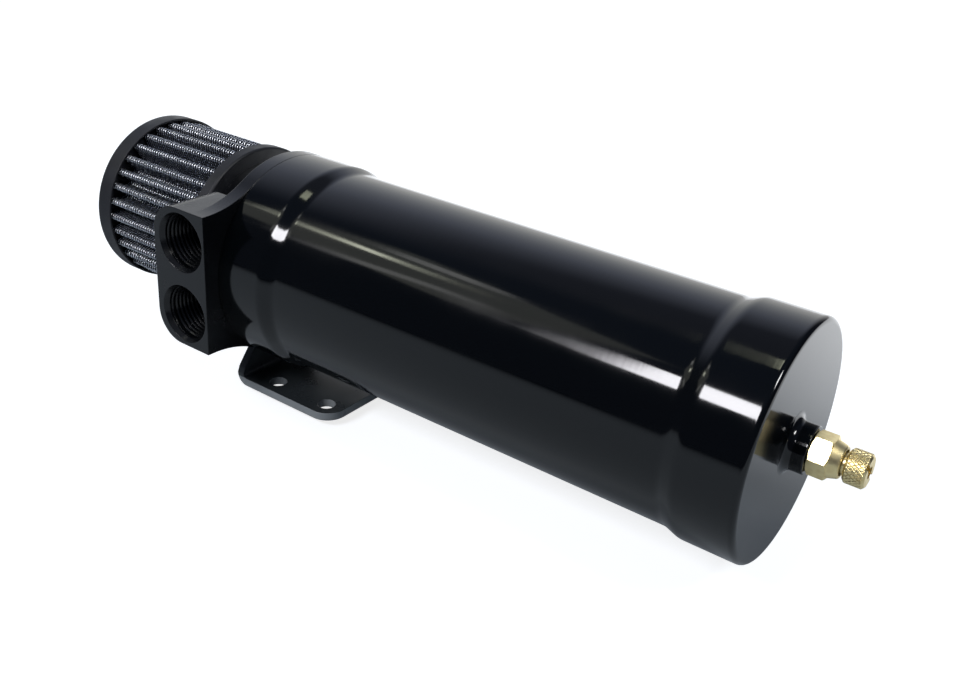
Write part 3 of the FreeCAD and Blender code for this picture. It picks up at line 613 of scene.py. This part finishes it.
def pleated_line(size, depth, count=None):
    """Points and outward normals along the pleated sleeve, spaced evenly along its length.

    One pleat is a crest arc, a straight flank, a valley arc and the flank's mirror image. The arcs are those
    of the sleeve's outer face, drawn in by a depth. The pleat is turned round the axis once for each pleat.
    Without a count there are four points for every two wires that run along the sleeve.
    """
    step = math.pi / size.pleats
    crest_middle = size.outside - size.crest
    valley_middle = size.inside + size.valley
    crest = size.crest - depth
    valley = size.valley + depth
    crest_centre = np.array([crest_middle, 0.0])
    valley_centre = valley_middle * np.array([math.cos(step), math.sin(step)])
    run = valley_centre - crest_centre
    lean = math.acos((crest + valley) / math.hypot(*run))
    heading = math.atan2(run[1], run[0]) - lean
    fine = 60
    crest_angle = np.linspace(0, heading, fine)
    valley_angle = np.linspace(heading, step, fine) + math.pi
    crest_normal = np.stack([np.cos(crest_angle), np.sin(crest_angle)], 1)
    valley_normal = -np.stack([np.cos(valley_angle), np.sin(valley_angle)], 1)
    half = np.concatenate([crest_centre + crest * crest_normal, valley_centre - valley * valley_normal])
    normal = np.concatenate([crest_normal, valley_normal])
    mirror = np.array([1.0, -1.0])
    pleat = np.concatenate([(half * mirror)[::-1], half[1:]])
    pleat_normal = np.concatenate([(normal * mirror)[::-1], normal[1:]])
    turn = 2 * step * np.arange(size.pleats)
    spin = np.stack([np.stack([np.cos(turn), -np.sin(turn)], 1), np.stack([np.sin(turn), np.cos(turn)], 1)], 1)
    line = np.einsum("nij,kj->nki", spin, pleat).reshape(-1, 2)
    normals = np.einsum("nij,kj->nki", spin, pleat_normal).reshape(-1, 2)
    line = np.concatenate([line, line[:1]])
    normals = np.concatenate([normals, normals[:1]])
    travel = np.concatenate([[0], np.cumsum(np.linalg.norm(np.diff(line, axis=0), axis=1))])
    if count is None:
        count = 4 * int(travel[-1] / size.upright / 2)
    at = np.linspace(0, travel[-1], count, endpoint=False)
    points = np.stack([np.interp(at, travel, line[:, axis]) for axis in (0, 1)], 1)
    away = np.stack([np.interp(at, travel, normals[:, axis]) for axis in (0, 1)], 1)
    away /= np.linalg.norm(away, axis=1, keepdims=True)
    return points + (FILTER_X, FILTER_Y), away


class WeaveFilter(bpy.types.Operator):
    """Makes the pleated sleeve: dark gauze, wires round it and wires along it, each over and under the others"""
    bl_idname = "catch_can.weave_filter"
    bl_label = "Weave Filter"

    def execute(self, context):
        size = settings().sleeve
        sides = 3
        section = FULL_TURN * np.arange(sides) / sides
        low = BASE_HIGH[2] - size.socket
        high = CAP_LOW[2] + size.socket
        depth = size.wire + size.weave
        rows = int(round((high - low) / size.spacing))
        heights = np.linspace(low, high, rows)

        points, away = pleated_line(size, depth)
        half_steps = np.arange(len(points))

        # A wire round the sleeve swings by sway * cos(pi * half step / 2), and the next row swings the other way
        swing = size.sway * np.cos(math.pi * (half_steps[None] / 2 + np.arange(rows)[:, None]))
        middle = points[None] + away[None] * swing[..., None]
        side = size.wire * np.cos(section)[None, None, :, None] * away[None, :, None]
        flat = middle[:, :, None] + side
        lift = heights[:, None, None] + size.wire * np.sin(section)[None, None]
        round_wires = np.concatenate([flat, np.broadcast_to(lift, flat.shape[:3])[..., None]], -1)
        faces = grid_faces(len(points), sides, True, True)
        faces = (faces[None] + (np.arange(rows) * len(points) * sides)[:, None, None]).reshape(-1, 4)
        round_made = make_object("filter_wires_round", round_wires.reshape(-1, 3), [faces])

        # A wire along the sleeve swings against the rows that it crosses
        base = points[::2]
        out = away[::2]
        along = np.stack([-out[:, 1], out[:, 0]], 1)
        climb = np.linspace(0, rows - 1, 2 * rows - 1)
        counter = -size.weave * np.cos(math.pi * (np.arange(len(base))[:, None] + climb[None]))
        middle = base[:, None] + out[:, None] * counter[..., None]
        outward = np.cos(section)[None, :, None] * out[:, None]
        side = size.thin * (outward + np.sin(section)[None, :, None] * along[:, None])
        flat = middle[:, :, None] + side[:, None]
        lift = np.interp(climb, np.arange(rows), heights)[None, :, None]
        long_wires = np.concatenate([flat, np.broadcast_to(lift, flat.shape[:3])[..., None]], -1)
        faces = grid_faces(len(climb), sides, False, True)
        block = len(climb) * sides
        starts = np.arange(len(base)) * block
        faces = (faces[None] + starts[:, None, None]).reshape(-1, 4)
        first_ends = starts[:, None] + np.arange(sides)[::-1]
        last_ends = starts[:, None] + block - sides + np.arange(sides)
        long_made = make_object("filter_wires_along", long_wires.reshape(-1, 3), [faces, first_ends, last_ends])

        # The gauze is a pleated wall of even thickness under the wires
        per_pleat = 40
        count = per_pleat * size.pleats
        outer = pleated_line(size, size.gauze, count)[0]
        inner = pleated_line(size, size.gauze + size.gauze_wall, count)[0]
        edges = [(outer, low), (outer, high), (inner, high), (inner, low)]
        wall = np.stack([np.column_stack([line, np.full(count, height)]) for line, height in edges])
        gauze = make_object("filter_gauze", wall.reshape(-1, 3), [grid_faces(len(edges), count, True, True)])

        for made, maker, crease in ((round_made, bright_round_wire, 180.0), (long_made, shaded_upright_wire, 180.0),
                                    (gauze, dark_gauze, 60.0)):
            face_outwards(made, crease)
            dress(made, maker)
            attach(made, "can")
        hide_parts("filter_element")
        return {"FINISHED"}


class MouldEnds(bpy.types.Operator):
    """Makes the filter's moulded rubber base and cap with their softened edges"""
    bl_idname = "catch_can.mould_ends"
    bl_label = "Mould Filter Ends"

    def execute(self, context):
        size = settings().ends
        top = CAP_HIGH[2]
        low = CAP_LOW[2]
        middle = 0.02 * MM
        roof = low + size.socket_depth
        dish = top - size.dish_depth
        tiny = 0.005 * MM
        soft = 0.3 * MM
        lip = 0.2 * MM
        step = 0.4 * MM
        outline = [(middle, low, tiny), (size.bed, low, soft), (size.bed, roof, soft), (size.socket, roof, soft),
                   (size.socket, low, lip), (size.cap, low, lip), (size.cap, top, size.cap_edge),
                   (size.dish, top, step), (size.dish - size.dish_depth, dish, step), (middle, dish, tiny)]
        cap = turned("rubber_cap", filleted(outline), (FILTER_X, FILTER_Y), columns=320)

        bottom = BASE_LOW[2]
        rim = BASE_HIGH[2]
        under = rim - size.base_thickness
        step = under + size.recess_depth
        floor = rim - size.socket_depth
        fine = size.fine
        outline = [(size.neck, bottom, fine), (size.collar, bottom, 2 * fine), (size.collar, step, fine),
                   (size.recess, step, fine), (size.recess, under, fine), (size.base, under, 3 * fine),
                   (size.base, rim, fine / 2), (size.socket, rim, fine / 2), (size.socket, floor, fine),
                   (size.bed, floor, fine), (size.bed, rim, fine), (size.neck, rim, fine)]
        base = turned("rubber_base", filleted(outline), (FILTER_X, FILTER_Y), columns=320)

        for made, node in ((cap, "filter_cap"), (base, "filter_base")):
            dress(made, moulded_rubber)
            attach(made, "can")
            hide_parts(node)
        return {"FINISHED"}


class ThreadPorts(bpy.types.Operator):
    """Winds the ridge of a thread inside each of the two hose ports"""
    bl_idname = "catch_can.thread_ports"
    bl_label = "Thread Ports"

    def execute(self, context):
        size = settings().ports
        per_turn = 96
        across = 9
        turns = size.reach / size.pitch
        steps = int(per_turn * turns)
        travel = np.arange(steps + 1) / per_turn
        share = np.linspace(0, 1, across)
        # Height of the thread over one pitch: two flanks with a narrow flat crest. Its ends fade over 1/3 turn
        flank = 1.25
        fade = 3
        profile = np.clip(flank * (1 - np.abs(2 * share - 1)), 0, 1)
        taper = np.clip(np.minimum(travel, turns - travel) * fade, 0, 1)
        for side, name in ((-1, "front"), (1, "rear")):
            centre_y = CAN_Y + side * size.spacing / 2
            centre_z = SEAM_Z + size.height
            depth = size.start + size.pitch * (travel[:, None] + share[None])
            radius = size.bore - size.depth * profile[None] * taper[:, None]
            angle = FULL_TURN * travel[:, None]
            x = HEAD_LOW[0] + depth
            y = centre_y + radius * np.cos(angle)
            z = centre_z + radius * np.sin(angle)
            ridge = np.stack([np.broadcast_to(x, radius.shape), y, z], -1)
            behind = size.bore + 0.2 * MM
            back_x = np.stack([x[:, -1], x[:, 0]], 1)
            back_y = centre_y + behind * np.cos(angle) * np.ones((1, 2))
            back_z = centre_z + behind * np.sin(angle) * np.ones((1, 2))
            ring = np.concatenate([ridge, np.stack([back_x, back_y, back_z], -1)], 1)
            columns = across + 2
            ends = np.arange(columns)[None]
            faces = [grid_faces(steps + 1, columns, False, True), ends, ends[:, ::-1] + steps * columns]
            thread = face_outwards(make_object("port_thread_" + name, ring.reshape(-1, 3), faces))
            dress(thread, satin_black_anodised)
            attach(thread, "can")
        return {"FINISHED"}


class KnurlKnob(bpy.types.Operator):
    """Raises the diamond knurl on the drain knob"""
    bl_idname = "catch_can.knurl_knob"
    bl_label = "Knurl Knob"

    def execute(self, context):
        size = settings().knurl
        per_groove = 20
        columns = size.count * per_groove
        low = KNOB_LOW[2] + size.end
        high = KNOB_LOW[2] + size.grip - size.end
        rows = 90
        angle = np.linspace(0, FULL_TURN, columns, endpoint=False)[None]
        height = np.linspace(low, high, rows)[:, None]
        # Two families of grooves lean opposite ways, each an even zigzag; a pyramid stands where neither cuts
        wind = math.tan(size.lean) / size.radius * (height - low)
        first = 1 - np.abs(2 * (size.count * (angle + wind) / FULL_TURN % 1) - 1)
        second = 1 - np.abs(2 * (size.count * (angle - wind) / FULL_TURN % 1) - 1)
        fade_over = 0.25 * MM
        steepness = 2.6
        clearance = 0.02 * MM
        wall = 0.3 * MM
        fade = np.clip(np.minimum(height - low, high - height) / fade_over, 0, 1)
        diamonds = np.clip(steepness * np.minimum(first, second), 0, 1)
        radius = size.radius + size.rise * diamonds * fade + clearance
        inner = np.full((1, columns), size.radius - wall)
        radius = np.concatenate([inner, radius, inner])
        height = np.broadcast_to(np.concatenate([height[:1], height, height[-1:]]), radius.shape)
        grip = turned("knurled_grip", np.stack([radius, height], -1), (CAN_X, CAN_Y), columns, crease=20.0)
        dress(grip, turned_brass)
        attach(grip, "knob")
        return {"FINISHED"}


class PressBand(bpy.types.Operator):
    """Makes the clamp's strap with the slanted slots that its screw engages"""
    bl_idname = "catch_can.press_band"
    bl_label = "Press Band"

    def execute(self, context):
        size = settings().band
        per_slot = 14
        columns = size.slots * per_slot
        outer = (BAND_HIGH[0] - BAND_LOW[0]) / 2
        low = BAND_LOW[2]
        high = BAND_HIGH[2]
        rows = 60
        angle = np.linspace(0, FULL_TURN, columns, endpoint=False)[None]
        height = np.linspace(low, high, rows)[:, None]
        rise = height - (low + high) / 2
        # A slot is cut where the wave round the strap is high and the height is within the slot. The slant is in
        # radians of the wave for a metre of height
        slant = 500
        end = 0.3 * MM
        steepness = 2.5
        wave = np.sin(size.slots * angle + rise * slant)
        reach = np.clip((size.slot_height / 2 - np.abs(rise)) / end, 0, 1)
        press = np.clip(wave * steepness, 0, 1) * reach
        radius = outer - size.slot_depth * press
        inner = np.full((1, columns), outer - size.thickness)
        radius = np.concatenate([inner, radius, inner])
        height = np.broadcast_to(np.concatenate([height[:1], height, height[-1:]]), radius.shape)
        band = turned("slotted_band", np.stack([radius, height], -1), (FILTER_X, FILTER_Y), columns)
        dress(band, pressed_steel)
        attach(band, "can")
        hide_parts("clamp_band")
        return {"FINISHED"}


class FinishMetal(bpy.types.Operator):
    """Gives the machined, pressed and moulded pieces of the frame their finishes"""
    bl_idname = "catch_can.finish_metal"
    bl_label = "Finish Metal"

    def execute(self, context):
        finishes = {
            "head": satin_black_anodised, "filter_neck": satin_black_anodised, "bracket": black_anodised_sheet,
            "clamp_housing": pressed_steel, "clamp_screw": pressed_steel, "bracket_screws": black_oxide_steel,
            "bracket_washers": black_oxide_steel, "lower_screen": mill_aluminium, "upper_screen": mill_aluminium,
            "wire_pad": mill_aluminium, "petcock_body": turned_brass, "petcock_knob": turned_brass,
            "petcock_needle": natural_nylon, "head_seal": moulded_rubber, "petcock_seal": moulded_rubber}
        for name, maker in finishes.items():
            dress(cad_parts[name], maker)
        return {"FINISHED"}


# Stage

# Camera and ground in millimetres, degrees and pixels
CAMERA_PLACE = (-283.22, -218.74, -261.05)
CAMERA_TURN = (148.019, 54.422, -7.131)
CAMERA_FOCAL_PIXELS = 1076.8
IMAGE_WIDTH = 980
SENSOR = 36.0
CAMERA_SHIFT = -0.0255
CAMERA_CLIP = (10.0, 20000.0)
GROUND_GAP = 3.0
GROUND_HALF = 3000.0
GROUND_NEAR = 1200.0
# Metres along X between which the ground turns from painted shade to pale in front of the can, and between which a
# painted glow makes it bright behind it
GROUND_PALE = (-0.95, -0.3)
GROUND_BRIGHT = (0.02, 0.26)
# Its glow there in reflections, and everywhere for the camera
GROUND_MIRRORED = 1.3
GROUND_SEEN = 0.8
# Middle of the pale sweep round the can, and the cosines from it between which the room turns into the sweep
SWEEP_MIDDLE = (0.77, 0.0, 0.64)
SWEEP_EDGE = (0.45, 0.906)
# Name, both ends as (rise, side), thickness, distance in metres, radiance and colour of every lamp: a window with
# its frame, strip lamps in a dim panel, a lamp overhead and one beyond the drain
LAMPS = (
    ("window", (41.5, 2), (41.5, 28.5), 11, 4.0, 25, "#fbfaff"),
    ("window_frame", (39.5, 28.5), (39.5, 34.5), 7, 4.0, 1.7, "#fbfaff"),
    ("dim_panel", (43.5, 36), (43.5, 68), 21, 2.4, 0.5, "#f8faea"),
    ("strip", (47.5, 53), (41, 67), 3.6, 2.3, 1.8, "#fcffe8"),
    ("strip_middle", (45.5, 57), (43.6, 62), 2.4, 2.2, 8, "#fcffe8"),
    ("near_strip", (41.5, 43), (32, 51), 3, 2.2, 1.2, "#ffffff"),
    ("high_strip", (54.5, 56), (50, 65), 3.5, 2.2, 1.5, "#ffffff"),
    ("overhead", (80, 60), (80, 120), 6, 2.2, 6, "#fbffe0"),
    ("lower_lamp", (50, -92), (50, -72), 12, 3.0, 25, "#ffffff"),
)


def direction(rise, side):
    """Direction from the can with a rise over the ground and an angle round from -X towards +Z, in degrees."""
    rise, side = math.radians(rise), math.radians(side)
    return Vector((-math.cos(rise) * math.cos(side), -math.sin(rise), math.cos(rise) * math.sin(side)))


def bar_lamp(name, start, end, thickness, distance, radiance, colour):
    """Straight lamp between two directions, turned to the middle of the can, with a thickness in degrees.

    The camera doesn't see it. Its power is radiance times pi times its area.
    """
    middle = Vector((CAN_X, CAN_Y, (SEAM_Z + BOTTOM_Z) / 2))
    first, last = direction(*start), direction(*end)
    away = (first + last).normalized()
    along = (last - first).normalized()
    data = bpy.data.lights.new(name, "AREA")
    data.shape = "RECTANGLE"
    data.size = 2 * distance * math.tan(first.angle(last) / 2)
    data.size_y = 2 * distance * math.tan(math.radians(thickness) / 2)
    data.energy = radiance * math.pi * data.size * data.size_y
    data.color = linear(colour)[:3]
    lamp = bpy.data.objects.new(name, data)
    bpy.context.scene.collection.objects.link(lamp)
    lamp.matrix_world = Matrix((along, away.cross(along), away)).transposed().to_4x4()
    lamp.location = middle + away * distance
    lamp.visible_camera = False


def ramp(tree, value, *stops):
    """Colour ramp through (position, red, green, blue) stops."""
    node = add(tree, "ShaderNodeValToRGB", value)
    steps = node.color_ramp.elements
    while len(steps) < len(stops):
        steps.new(0.5)
    for step, (position, *colour) in zip(steps, stops):
        step.position = position
        step.color = (*colour, 1.0)
    return node.outputs["Color"]


def pale_ground():
    """Pale matt sheet: a little light of its own for the camera makes it white, and it keeps the shadow.

    In reflections a painted glow brightens it behind the can, standing in for a sheet that sweeps up into the
    light, and painted shade darkens it in front of it. From behind it is clear, so that the back of the object can
    be seen.
    """
    material = bpy.data.materials.new("pale_ground")
    material.use_nodes = True
    tree = material.node_tree
    tree.nodes.clear()
    path = add(tree, "ShaderNodeLightPath").outputs
    place = add(tree, "ShaderNodeTexCoord").outputs["Object"]
    across = part(tree, place, "X")
    # Painted shade: away from the camera the colour fades to near black in front of the can
    lit = reckon(tree, "MAXIMUM", spread(tree, across, *GROUND_PALE, kind="SMOOTHSTEP"), path["Is Camera Ray"])
    shade = blend(tree, lit, (0.02, 0.02, 0.03, 1.0), settings().colours.ground)
    matt = add(tree, "ShaderNodeBsdfDiffuse", Color=shade).outputs["BSDF"]
    # Painted glow, seen only in reflections, that brightens the ground behind the can
    bright = spread(tree, across, *GROUND_BRIGHT, 0.0, GROUND_MIRRORED, "SMOOTHSTEP")
    mirrored = reckon(tree, "MULTIPLY", bright, path["Is Glossy Ray"])
    seen = reckon(tree, "MULTIPLY", path["Is Camera Ray"], GROUND_SEEN)
    level = reckon(tree, "MAXIMUM", seen, mirrored)
    glow = add(tree, "ShaderNodeEmission", Color=(1.0, 1.0, 1.0, 1.0), Strength=level).outputs["Emission"]
    both = add(tree, "ShaderNodeAddShader", matt, glow).outputs["Shader"]
    clear = add(tree, "ShaderNodeBsdfTransparent").outputs["BSDF"]
    behind = add(tree, "ShaderNodeNewGeometry").outputs["Backfacing"]
    mix = add(tree, "ShaderNodeMixShader", behind, both, clear).outputs["Shader"]
    add(tree, "ShaderNodeOutputMaterial", Surface=mix)
    return material


def surroundings():
    """White for the camera. For reflections a dark room, bluish overhead, with a pale sweep behind the can.

    The sweep's brightness falls with the height of the direction, and one smooth step leads into it round the
    can. The ramps run from straight up at 0, over the horizon at 0.5, to straight down at 1.
    """
    world = bpy.data.worlds.new("surroundings")
    world.use_nodes = True
    tree = world.node_tree
    way = add(tree, "ShaderNodeTexCoord").outputs["Generated"]
    drop = spread(tree, part(tree, way, "Y"), -1.0, 1.0)
    room = ramp(tree, drop, (0.1, 0.07, 0.085, 0.13), (0.25, 0.04, 0.045, 0.065), (0.5, 0.04, 0.045, 0.065))
    sweep = ramp(tree, drop, (0.08, 0.14, 0.15, 0.2), (0.12, 0.33, 0.36, 0.46), (0.19, 0.56, 0.61, 0.76),
                 (0.29, 0.8, 0.84, 0.92), (0.4, 0.98, 1.0, 1.0), (0.47, 1.0, 1.0, 1.0))
    flat = vectors(tree, "MULTIPLY", way, (1.0, 0.0, 1.0))["Vector"]
    level = vectors(tree, "NORMALIZE", flat)["Vector"]
    facing = vectors(tree, "DOT_PRODUCT", level, SWEEP_MIDDLE)["Value"]
    mirrored = blend(tree, spread(tree, facing, *SWEEP_EDGE, kind="SMOOTHSTEP"), room, sweep)
    seen = add(tree, "ShaderNodeLightPath").outputs["Is Camera Ray"]
    white = blend(tree, seen, mirrored, (1.0, 1.0, 1.0, 1.0))
    feed(tree, tree.nodes["Background"].inputs["Color"], white)
    return world


class SetStage(bpy.types.Operator):
    """Sets the pale ground, the soft lamps, the white surroundings and the camera"""
    bl_idname = "catch_can.set_stage"
    bl_label = "Set Stage"

    def execute(self, context):
        scene = context.scene
        scene.view_settings.view_transform = "Standard"

        half = GROUND_HALF * MM
        gap = GROUND_GAP * MM
        near = -GROUND_NEAR * MM
        corners = np.array([(near, gap, -half), (half, gap, -half), (half, gap, half), (near, gap, half)])
        ground = make_object("ground", corners, [np.array([[0, 1, 2, 3]])])
        dress(ground, pale_ground)

        scene.world = surroundings()
        for lamp in LAMPS:
            bar_lamp(*lamp)

        data = bpy.data.cameras.new("photo_view")
        data.sensor_width = SENSOR
        data.lens = CAMERA_FOCAL_PIXELS / IMAGE_WIDTH * SENSOR
        data.shift_y = CAMERA_SHIFT
        data.clip_start, data.clip_end = [value * MM for value in CAMERA_CLIP]
        camera = bpy.data.objects.new("photo_view", data)
        scene.collection.objects.link(camera)
        camera.location = [value * MM for value in CAMERA_PLACE]
        camera.rotation_euler = [math.radians(value) for value in CAMERA_TURN]
        scene.camera = camera
        return {"FINISHED"}


class CatchCanPanel(bpy.types.Panel):
    """Buttons that make the pieces and set the stage"""
    bl_idname = "VIEW3D_PT_catch_can"
    bl_label = "Oil Catch Can"
    bl_space_type = "VIEW_3D"
    bl_region_type = "UI"
    bl_category = "Catch Can"

    def draw(self, context):
        for step in STEPS:
            self.layout.operator(step.bl_idname)


GROUPS = (CanSizes, BungSizes, FilterSizes, FilterEndSizes, PortSizes, KnurlSizes, BandSizes, Colours, CatchCan)
STEPS = (FinishMetal, SpinCan, WeldBung, WeaveFilter, MouldEnds, ThreadPorts, KnurlKnob, PressBand, SetStage)


def register():
    for item in GROUPS + STEPS + (CatchCanPanel,):
        bpy.utils.register_class(item)
    bpy.types.Scene.catch_can = PointerProperty(type=CatchCan)


def unregister():
    del bpy.types.Scene.catch_can
    for item in reversed(GROUPS + STEPS + (CatchCanPanel,)):
        bpy.utils.unregister_class(item)


def main():
    register()
    for step in STEPS:
        group, name = step.bl_idname.split(".")
        getattr(getattr(bpy.ops, group), name)()


if __name__ == "__main__":
    main()
